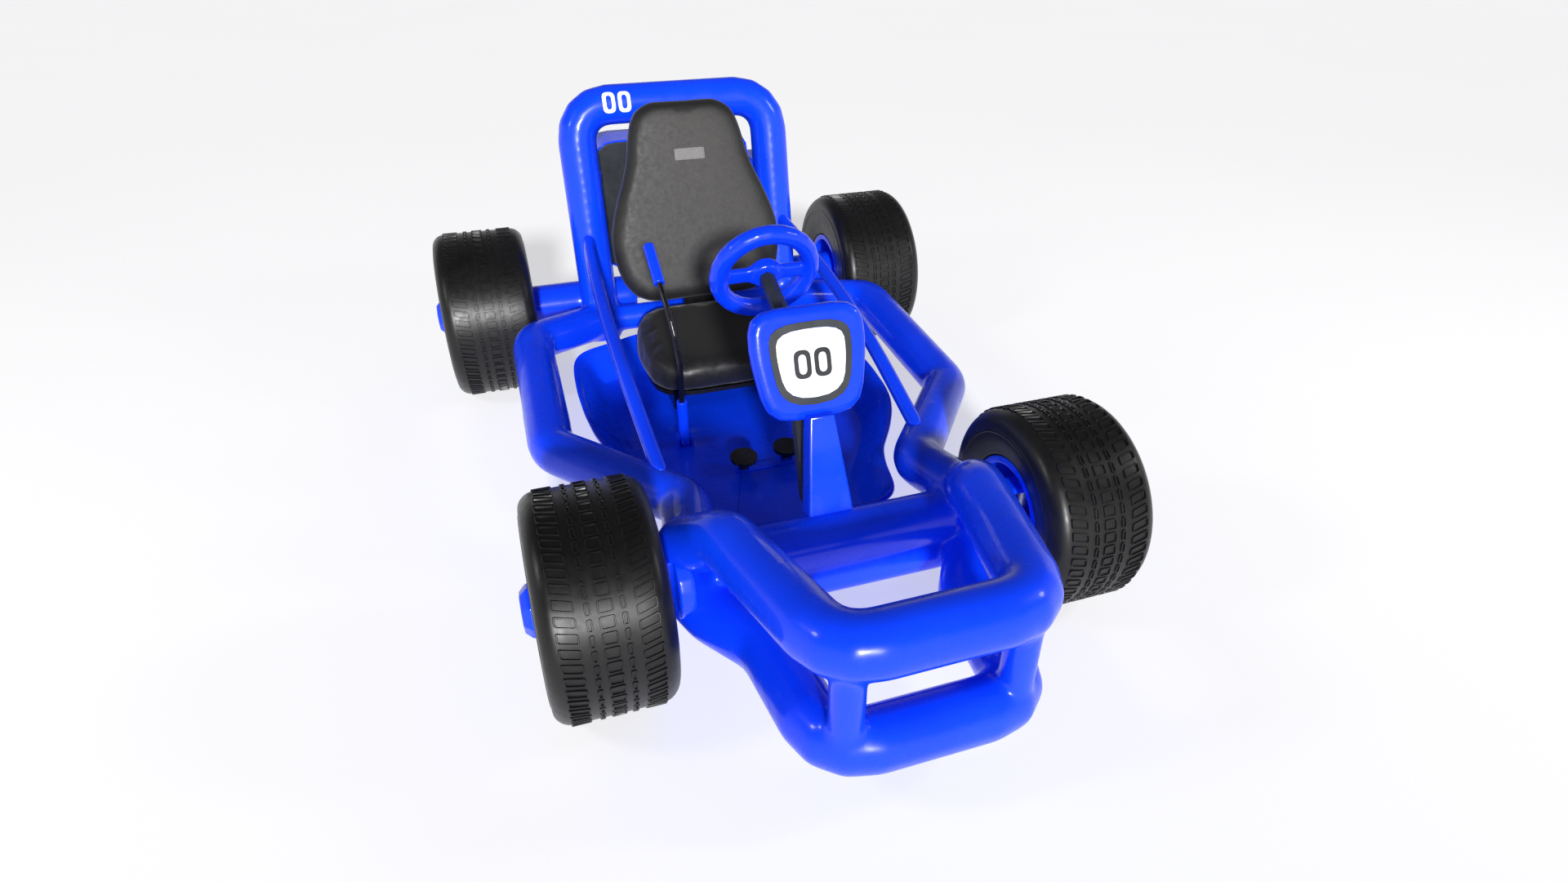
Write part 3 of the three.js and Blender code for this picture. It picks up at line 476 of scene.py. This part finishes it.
def build_pan():
    """A dished sheet with a rolled edge and four lugs."""
    outline, rim = pan_outline()
    bm = pan_sheet(outline, rim)
    sheet = bare_object("floor_pan_sheet", bm)
    modify(sheet, "SOLIDIFY", thickness=PAN_SHEET, offset=0)
    bake(sheet)
    sheet.data.transform(Matrix.Translation((0, 0, PAN_SHEET / 2)))
    bm = bmesh.new()
    bm.from_mesh(sheet.data)
    bpy.data.objects.remove(sheet)
    add_bead(bm, outline, rim)
    add_lugs(bm, rim)
    finished("floor_pan_tray", bm, "chassis", "blue_paint", nodes=["floor_pan"])


def add_bead(bm, outline, rim):
    """The rolled edge of the sheet."""
    rings = []
    for i, point in enumerate(outline):
        along = (outline[(i + 1) % len(outline)] - outline[i - 1]).normalized()
        outward = Vector((-along.y, along.x, 0))
        ring = []
        for step in range(PAN_BEAD_SIDES):
            angle = 2 * math.pi * step / PAN_BEAD_SIDES
            offset = outward * math.cos(angle) + Vector((0, 0, math.sin(angle)))
            ring.append(bm.verts.new(Vector((*point, rim)) + offset * PAN_BEAD))
        rings.append(ring)
    for i, ring in enumerate(rings):
        bridge(bm, ring, rings[(i + 1) % len(rings)])


def add_lugs(bm, rim):
    """Tabs that carry the pan on the front and rear cross tubes."""
    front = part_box("floor_pan")[0].y
    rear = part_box("rear_cross_tube")[0].y
    # For each pair: distance from the middle, width, span along the kart, span in height.
    pairs = (
        (120 * MM, 44 * MM, (front + 4 * MM, front + 118 * MM), (rim - 43 * MM, rim - 33 * MM)),
        (140 * MM, 40 * MM, (rear + 1 * MM, rear + 7 * MM), (rim - 13 * MM, rim + 34 * MM)),
    )
    for _, side in SIDES:
        for x, width, span_y, span_z in pairs:
            outline = rounded_box(width, span_y[1] - span_y[0], 3 * MM, 3)
            middle = Vector((side * x, sum(span_y) / 2))
            loops = [[bm.verts.new((*(middle + p), z)) for p in outline] for z in span_z]
            bridge(bm, *loops)
            for loop in loops:
                bm.faces.new(loop)


# ---------------------------------------------------------------- wheels

BEAD_RADIUS = 101.6 * MM
FLANGE_RADIUS = 111 * MM
TYRE_SEAT_RADIUS = 100.4 * MM
BARREL_RADIUS = 96 * MM
BOSS_RADIUS = 27 * MM
BOSS_LENGTH = 46 * MM
BORE_RADIUS = 15.4 * MM
TYRE_SEGMENTS = 144
RIM_SEGMENTS = 96
WHEEL_CREASE = 38
TREAD_HEIGHT = 2.8 * MM
TREAD_ROOT = 0.6 * MM
TREAD_STROKE = 3.4 * MM
TREAD_PITCH = 26 * MM
FRONT_TYRE_WIDTH = 219 * MM
# Tread rows: distance from the middle, width and length in millimetres, and slant in degrees.
TREAD_ROWS = ((0, 26, 22.5, 0), (28, 10, 22.5, 0), (64, 35, 19, 15))


def tyre_profile(radius, half_width):
    """Closed section of a tyre with a rounded shoulder and a raised ring on each sidewall."""
    base = radius - TREAD_HEIGHT
    half = [
        ((BEAD_RADIUS, half_width - 20 * MM), 0),
        ((BEAD_RADIUS + 12 * MM, half_width - 13 * MM), 4),
        ((BEAD_RADIUS + 14 * MM, half_width - 8.5 * MM), 2),
        ((BEAD_RADIUS + 20 * MM, half_width - 7.5 * MM), 3),
        ((148 * MM, half_width - 1.5 * MM), 14),
        ((base - 44 * MM, half_width - 0.8 * MM), 1.5),
        ((base - 42.5 * MM, half_width + 0.3 * MM), 1),
        ((base - 37 * MM, half_width + 0.3 * MM), 1),
        ((base - 35.5 * MM, half_width - 0.9 * MM), 1.5),
        ((base - 17 * MM, half_width - 2.5 * MM), 12),
        ((base - 1.5 * MM, half_width - 19 * MM), 14),
        ((base, half_width - 40 * MM), 12),
    ]
    mirrored = [((r, -s), bend) for (r, s), bend in reversed(half)]
    return rounded_profile(half + mirrored)


def add_tread(bm, centre, radius, half_width):
    """Rows of raised outlines round the crown; the slanted rows sit half a pitch along."""
    count = round(2 * math.pi * radius / TREAD_PITCH)
    stretch = 2 * half_width / FRONT_TYRE_WIDTH
    for row_at, row_width, row_length, slant in TREAD_ROWS:
        width = row_width * stretch * MM
        length = row_length * MM
        outer = rounded_box(width, length, 4.5 * MM, 3)
        inner = rounded_box(width - 2 * TREAD_STROKE, length - 2 * TREAD_STROKE, 2.4 * MM, 3)
        lean = math.tan(math.radians(slant))
        for side in (1, -1) if row_at else (1,):
            for step in range(count):
                middle = 2 * math.pi * (step + (0.5 if slant else 0)) / count

                def place(u, v, height):
                    angle = middle + (v + side * u * lean) / radius
                    reach = radius - TREAD_HEIGHT + height
                    across = side * row_at * stretch * MM + u
                    return centre + Vector((across, -math.cos(angle) * reach, math.sin(angle) * reach))

                raised_ring(bm, place, outer, inner, -TREAD_ROOT, TREAD_HEIGHT, 0.5)


def build_tyre(prefix):
    node = prefix + "_tyre"
    low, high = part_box(node)
    centre = (low + high) / 2
    radius = (high.z - low.z) / 2
    half_width = (high.x - low.x) / 2
    bm = bmesh.new()
    lathe(bm, tyre_profile(radius, half_width), centre, ALONG_X, TYRE_SEGMENTS)
    add_tread(bm, centre, radius, half_width)
    finished(node + "_treaded", bm, BODY_OF[node], "tyre", nodes=[node], crease=WHEEL_CREASE)


def rim_profile(lip, boss_end):
    """Closed section of a rim: rolled flanges, the tyre's seat, and a dished web with a hub boss."""
    web = boss_end - 22 * MM
    boss_start = boss_end - BOSS_LENGTH
    return rounded_profile([
        ((FLANGE_RADIUS, -lip), 2),
        ((FLANGE_RADIUS, -lip + 4 * MM), 1.5),
        ((TYRE_SEAT_RADIUS, -lip + 4.5 * MM), 4),
        ((TYRE_SEAT_RADIUS, lip - 4.5 * MM), 4),
        ((FLANGE_RADIUS, lip - 4 * MM), 1.5),
        ((FLANGE_RADIUS, lip), 2),
        ((BARREL_RADIUS, lip), 4),
        ((BARREL_RADIUS, web + 6 * MM), 16),
        ((70 * MM, web + 3 * MM), 14),
        ((BOSS_RADIUS + 8 * MM, web + 7 * MM), 10),
        ((BOSS_RADIUS, boss_end), 3),
        ((BORE_RADIUS, boss_end), 1),
        ((BORE_RADIUS, boss_start), 1),
        ((BOSS_RADIUS, boss_start), 3),
        ((BOSS_RADIUS + 8 * MM, web - 6 * MM), 8),
        ((BARREL_RADIUS, web - 6 * MM), 12),
        ((BARREL_RADIUS, -lip), 4),
    ])


def build_rim(prefix, side):
    """A turned rim whose boss ends 5 mm short of the hub cap."""
    node = prefix + "_rim"
    low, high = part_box(node)
    cap_low, cap_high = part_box(prefix + "_hub_cap")
    centre = (low + high) / 2
    cap_start = cap_low.x if side > 0 else cap_high.x
    boss_end = abs(cap_start - centre.x) - 5 * MM
    bm = bmesh.new()
    lathe(bm, rim_profile((high.x - low.x) / 2, boss_end), centre, ALONG_X * side, RIM_SEGMENTS)
    finished(node + "_spun", bm, BODY_OF[node], "blue_paint", nodes=[node], crease=WHEEL_CREASE)


def build_wheels():
    for name, side in SIDES:
        for axle in ("front_", "rear_"):
            build_tyre(axle + name)
            build_rim(axle + name, side)
            eased(axle + name + "_hub_cap", 3.5 * MM, 4)
        eased("kingpin_" + name, 0.8 * MM, 2)
        eased("knuckle_" + name, 1.0 * MM, 2)
        eased("tie_rod_" + name, 0.8 * MM, 2)
        eased("axle_bearing_" + name, 1.2 * MM, 2)
    eased("rear_axle_shaft", 1.2 * MM, 2)


# ---------------------------------------------------------------- steering and number plate

ZERO_WIDTH = 33 * MM
ZERO_HEIGHT = 54 * MM


def build_steering():
    skin("steering_wheel", ["steering_wheel_rim", "steering_wheel_hub"], 2 * MM, 28, 0.9 * MM)
    eased("column_upper", 1.5 * MM)
    eased("column_post", 2.0 * MM)
    eased("column_lower", 0.8 * MM, 2)
    eased("column_fairing", 4.0 * MM, 4)


def add_zeros(bm, place, stroke, gap, thickness):
    """Two plain block zeros side by side, as raised outlines."""
    outer = rounded_box(ZERO_WIDTH, ZERO_HEIGHT, 0.45 * ZERO_WIDTH, 8)
    inner = rounded_box(ZERO_WIDTH - 2 * stroke, ZERO_HEIGHT - 2 * stroke, 0.35 * ZERO_WIDTH, 8)
    for side in (-1, 1):
        middle = Vector((side * (ZERO_WIDTH + gap) / 2, 0))
        raised_ring(bm, place, [p + middle for p in outer], [p + middle for p in inner], 0, thickness)


def build_plate():
    """The plate's body, border and panel, with placeholder numerals on the panel's face."""
    skin("number_plate_body", ["number_plate_shell"], 2.6 * MM, 14, 0.5 * MM)
    eased("number_plate_border", 1.0 * MM)
    eased("number_plate_panel", 0.8 * MM)
    normal = facing("number_plate_panel", Vector((0, -0.94, 0.34)))
    middle = box_middle("number_plate_panel") + normal * 1.6 * MM
    up = upwards(ALONG_X.cross(normal))

    def place(u, v, height):
        return middle + ALONG_X * u + up * v + normal * height

    bm = bmesh.new()
    add_zeros(bm, place, 8.5 * MM, 7 * MM, 1.2 * MM)
    finished("number_plate_numerals", bm, "chassis", "black_plastic", "numeral")


HOOP_RADIUS = 50 * MM
HOOP_NUMERAL_X = -157 * MM
HOOP_NUMERAL_LIFT = math.radians(19)


def build_hoop_numerals():
    """Placeholder numerals wrapped round the front of the roll hoop's top bar."""
    _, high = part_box("roll_hoop")
    axis_y = high.y - HOOP_RADIUS
    axis_z = high.z - HOOP_RADIUS

    def place(u, v, height):
        angle = HOOP_NUMERAL_LIFT + v / HOOP_RADIUS
        reach = HOOP_RADIUS + 0.2 * MM + height
        y = axis_y - math.cos(angle) * reach
        return Vector((HOOP_NUMERAL_X + u, y, axis_z + math.sin(angle) * reach))

    bm = bmesh.new()
    add_zeros(bm, place, 9.5 * MM, 8 * MM, 0.9 * MM)
    finished("hoop_numerals", bm, "chassis", "white_panel")


# ---------------------------------------------------------------- seat

PAD_SHRINK = 2 * MM
PAD_VOXEL = 5 * MM
CROWN_ROUNDS = 160
FACE_ROUNDS = 220
CLOTH_PRESSURE = 4
CLOTH_FRAMES = 20
# How far up the backrest the patch's middle is, as a share of the backrest's height.
LABEL_HEIGHT = 0.747
LABEL_SIZE = (80 * MM, 29 * MM)
STITCH_INSET = 3 * MM
STITCH_WIDTH = 0.7 * MM
# Rings of the patch from foot to middle: share of its size, and height over the leather in millimetres.
LABEL_RINGS = ((1, -0.5), (1, 0.9), (0.985, 1.2), (0.8, 1.2), (0.6, 1.2), (0.4, 1.2), (0.2, 1.2))


def capped(piece, start, cap):
    """Pulls every point back to within cap of where it started."""
    for vertex, origin in zip(piece.data.vertices, start):
        move = vertex.co - origin
        if move.length > cap:
            vertex.co = origin + move.normalized() * cap


def front_share(piece, direction, rounds):
    """For each point, how squarely its surroundings face a direction, from 0 to 1."""
    mesh = piece.data
    share = np.array([max(0.0, v.normal.dot(direction)) for v in mesh.vertices])
    edges = np.array([edge.vertices[:] for edge in mesh.edges])
    links = np.bincount(edges.ravel(), minlength=len(share))
    for _ in range(rounds):
        total = np.zeros(len(share))
        np.add.at(total, edges[:, 0], share[edges[:, 1]])
        np.add.at(total, edges[:, 1], share[edges[:, 0]])
        share = total / links
    return share


def flatten_rear(piece, outward, limit):
    """Keeps the side that rests on the seat's shell or base from bulging through it."""
    for vertex in piece.data.vertices:
        excess = limit - vertex.co.dot(outward)
        if excess > 0:
            vertex.co += outward * excess


def swell(pad, cap):
    """Blows the pad up as cloth, and keeps every point within cap of its start."""
    start = [v.co.copy() for v in pad.data.vertices]
    cloth = modify(pad, "CLOTH")
    cloth.settings.use_pressure = True
    cloth.settings.uniform_pressure_force = CLOTH_PRESSURE
    cloth.settings.effector_weights.gravity = 0
    for step in range(1, CLOTH_FRAMES + 1):
        scene.frame_set(step)
    bake(pad)
    scene.frame_set(1)
    capped(pad, start, cap)


def stuffed(name, node, outward, crown, cap):
    """A padded form inside a CAD solid, crowned towards outward and swollen by cloth pressure."""
    pad = bare_object(name, merged([node], -PAD_SHRINK))
    modify(pad, "REMESH", mode="VOXEL", voxel_size=PAD_VOXEL)
    modify(pad, "SMOOTH", factor=0.5, iterations=20)
    bake(pad)
    for vertex, share in zip(pad.data.vertices, front_share(pad, outward, CROWN_ROUNDS)):
        vertex.co += outward * crown * float(share)
    swell(pad, cap)
    rear = min(v.co.dot(outward) for v in frame["nodes"][node].data.vertices)
    modify(pad, "SMOOTH", factor=0.5, iterations=8)
    modify(pad, "SUBSURF", levels=1, render_levels=1)
    bake(pad)
    flatten_rear(pad, outward, rear + 0.5 * MM)
    return placed(pad, BODY_OF[node], "leather", nodes=[node], crease=NO_CREASE)


def build_seat():
    outward = facing("seat_back_pad", Vector((0, -0.95, 0.3)))
    back = stuffed("seat_back_cushion", "seat_back_pad", outward, 7 * MM, 5 * MM)
    stuffed("seat_base_cushion", "seat_cushion", Vector((0, 0, 1)), 9 * MM, 6 * MM)
    # painted shade: the backrest's hide is darkened round its edges
    shade_backrest_edges(back, outward)
    build_label(back, outward)
    eased("seat_back_shell", 3.0 * MM, 4)
    eased("seat_frame", 2.0 * MM)


def build_label(pad, outward):
    """A blank sewn patch with a stitched border on the front of the backrest."""
    low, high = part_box("seat_back_pad")
    surface = surface_of(pad.data)
    middle_z = low.z + LABEL_HEIGHT * (high.z - low.z)
    up = upwards(ALONG_X.cross(outward))

    def place(u, v, height):
        start = Vector((u, low.y - 0.2, middle_z)) + up * v
        return surface.ray_cast(start, Vector((0, 1, 0)))[0] + outward * height

    bm = bmesh.new()
    width, length = LABEL_SIZE
    outline = rounded_box(width, length, 4 * MM)
    loops = []
    for share, height in LABEL_RINGS:
        loops.append([bm.verts.new(place(p.x * share, p.y * share, height * MM)) for p in outline])
    bridge_all(bm, loops)
    bm.faces.new(loops[-1])
    bm.faces.new(loops[0])
    width, length = width - 2 * STITCH_INSET, length - 2 * STITCH_INSET
    stitch_outer = rounded_box(width, length, 3 * MM)
    stitch_inner = rounded_box(width - 2 * STITCH_WIDTH, length - 2 * STITCH_WIDTH, 2.4 * MM)
    raised_ring(bm, place, stitch_outer, stitch_inner, 0.9 * MM, 1.7 * MM)
    finished("seat_back_label", bm, "chassis", "leather", "label")


def shade_backrest_edges(pad, outward):
    """Paints shade round the backrest's edges: the hide is painted darker where the pad turns away from the
    front than on its face.
    """
    shares = pad.data.attributes.new("face", "FLOAT", "POINT")
    shares.data.foreach_set("value", front_share(pad, outward, FACE_ROUNDS))
    settings = {"Specular IOR Level": 0.34, "Sheen Weight": 0.08, "Sheen Roughness": 0.5}
    shader = Shader("seat_back_leather", settings)
    face = shader.add("ShaderNodeAttribute", attribute_name="face").outputs["Fac"]
    grain = shader.noise(420, 4)
    light = shader.between(grain, (0.024, 0.0225, 0.021), (0.044, 0.041, 0.039))
    # painted shade: the same hide darkened where the pad turns away from the front
    painted_edge_shade = shader.between(grain, (0.006, 0.006, 0.006), (0.012, 0.012, 0.012))
    painted_shade_share = shader.spread(face, 0, 1, 0.70, 1.0)
    shader.link(shader.mix(painted_shade_share, painted_edge_shade, light), shader.surface, "Base Color")
    shader.roughness(shader.noise(80), 0.46, 0.56)
    shader.bump(shader.cells(620), 0.30, 0.0005)
    pad.data.materials[0] = shader.material


# ---------------------------------------------------------------- remaining pieces

def build_power_unit():
    eased("power_unit_case", 1.6 * MM)
    eased("power_unit_cover", 2.0 * MM)


def build_controls():
    for pedal in ("brake_pedal", "throttle_pedal"):
        eased(pedal, 2.2 * MM, 4)
    eased("pedal_bracket", 0.9 * MM, 2)
    eased("lever_bracket", 0.9 * MM, 2)
    skin("lever_rod_bent", ["lever_rod"], 1.3 * MM, 12, 1.0 * MM)
    skin("lever_hand_grip", ["lever_grip"], 1.3 * MM, 16, 0.3 * MM)
    skin("lever_boot", ["lever_sleeve"], 1.3 * MM, 16, 0.3 * MM)


# ---------------------------------------------------------------- stage, light and camera

FLOOR_HALF = 40
SUN_FROM = (-0.6, -3.9, 1.5)
SUN_STRENGTH = 4.0
SUN_ANGLE = math.radians(5)
SOFTBOX_FROM = {"left_light": (-3.2, -0.6, 2.6), "right_light": (3.2, -1.6, 2.4)}
SOFTBOX_SIZE = 0.7
SOFTBOX_POWER = 20
# The sine of the elevation and the sky's strength, at the foot and at the top of its fade.
SKY_FADE = ((0.10, 0.88), (0.42, 0.10))
CAMERA_PLACE = (-0.524, -1.773, 1.276)
CAMERA_TURN = (58.064, 0, -18.498)
CAMERA_LENS = 20.578


def build_floor():
    bm = bmesh.new()
    bmesh.ops.create_grid(bm, x_segments=8, y_segments=8, size=FLOOR_HALF)
    floor = bare_object("studio_floor", bm)
    floor.data.materials.append(floor_finish())


def aimed(lamp, location, target):
    """Puts a lamp in the scene, shining from a place to a target."""
    piece = bpy.data.objects.new(lamp.name, lamp)
    piece.location = location
    piece.rotation_euler = (Vector(target) - Vector(location)).to_track_quat("-Z", "Y").to_euler()
    scene.collection.objects.link(piece)


def build_world():
    """A studio that is pale near the horizon and dim overhead."""
    world = bpy.data.worlds.new("studio")
    scene.world = world
    world.use_nodes = True
    tree = world.node_tree
    background = tree.nodes["Background"]
    background.inputs["Color"].default_value = (0.97, 0.975, 1.0, 1)
    direction = tree.nodes.new("ShaderNodeTexCoord").outputs["Generated"]
    parts = tree.nodes.new("ShaderNodeSeparateXYZ")
    fade = tree.nodes.new("ShaderNodeMapRange")
    for limit, (height, strength) in zip(("Min", "Max"), SKY_FADE):
        fade.inputs["From " + limit].default_value = height
        fade.inputs["To " + limit].default_value = strength
    tree.links.new(direction, parts.inputs["Vector"])
    tree.links.new(parts.outputs["Z"], fade.inputs["Value"])
    tree.links.new(fade.outputs["Result"], background.inputs["Strength"])


def build_light():
    """A low sun from the front, and a soft light on each side."""
    sun = bpy.data.lights.new("key", "SUN")
    sun.energy = SUN_STRENGTH
    sun.angle = SUN_ANGLE
    aimed(sun, SUN_FROM, (0, 0, 0.1))
    for name, location in SOFTBOX_FROM.items():
        softbox = bpy.data.lights.new(name, "AREA")
        softbox.shape = "DISK"
        softbox.size = SOFTBOX_SIZE
        softbox.energy = SOFTBOX_POWER
        aimed(softbox, location, (0, 0.1, 0.3))


def build_camera():
    camera = bpy.data.cameras.new("camera")
    camera.lens = CAMERA_LENS
    camera.sensor_width = 36
    viewer = bpy.data.objects.new("camera", camera)
    viewer.location = CAMERA_PLACE
    viewer.rotation_euler = [math.radians(turn) for turn in CAMERA_TURN]
    scene.collection.objects.link(viewer)
    scene.camera = viewer


build_camera()
build_world()
build_light()
build_floor()
build_frame()
build_pan()
build_wheels()
build_steering()
build_plate()
build_hoop_numerals()
build_seat()
build_power_unit()
build_controls()
scene.view_settings.view_transform = "Standard"
